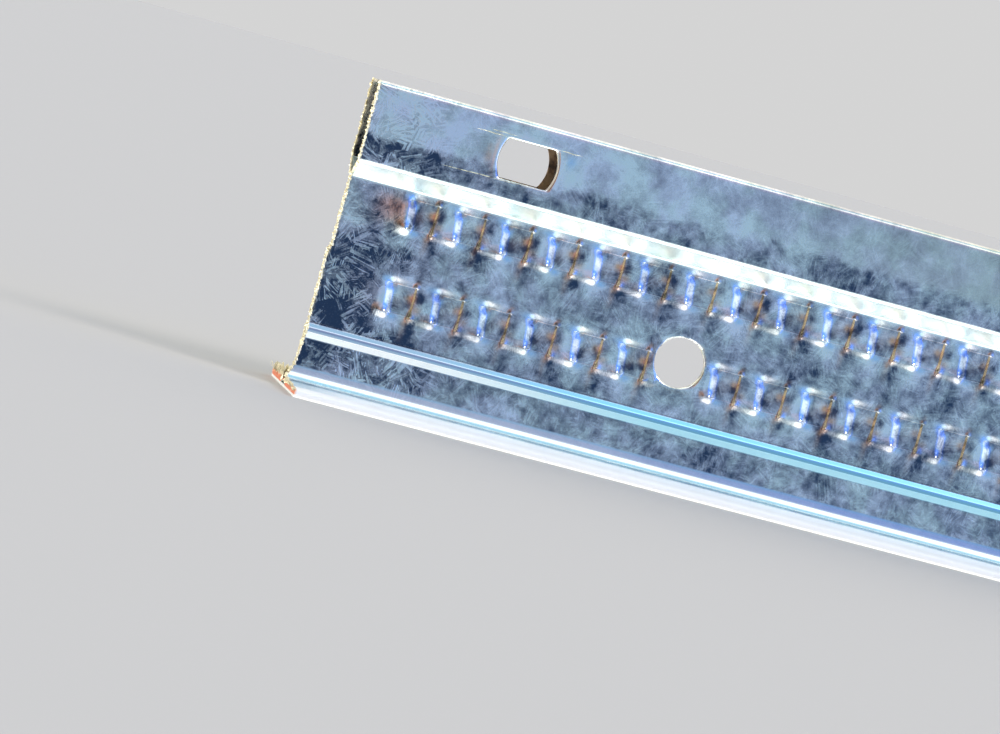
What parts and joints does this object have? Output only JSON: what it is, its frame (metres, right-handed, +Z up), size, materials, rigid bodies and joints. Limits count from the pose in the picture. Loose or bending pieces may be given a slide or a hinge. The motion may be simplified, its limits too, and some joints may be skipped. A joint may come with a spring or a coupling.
{
  "type": "ceiling grid main tee",
  "caption": "Straight T-section steel ceiling grid runner: hollow bulb on a stitched double web with hanger holes, and a white-capped flange that carries ceiling panels.",
  "frame": {"origin": "middle of the painted face's underside, at half of the tee's length", "axes": "+X along the tee, from the snipped end to the square end; +Y across the flange; +Z up the web"},
  "size_m": [3.6, 0.024, 0.038],
  "materials": {
    "galvanised_strip": "hot-dip galvanised, spangled",
    "painted_cap": "baked white enamel, satin"
  },
  "bodies": {
    "root": {"tee_body": "galvanised_strip", "face_cap": "painted_cap"}
  },
  "joints": []
}
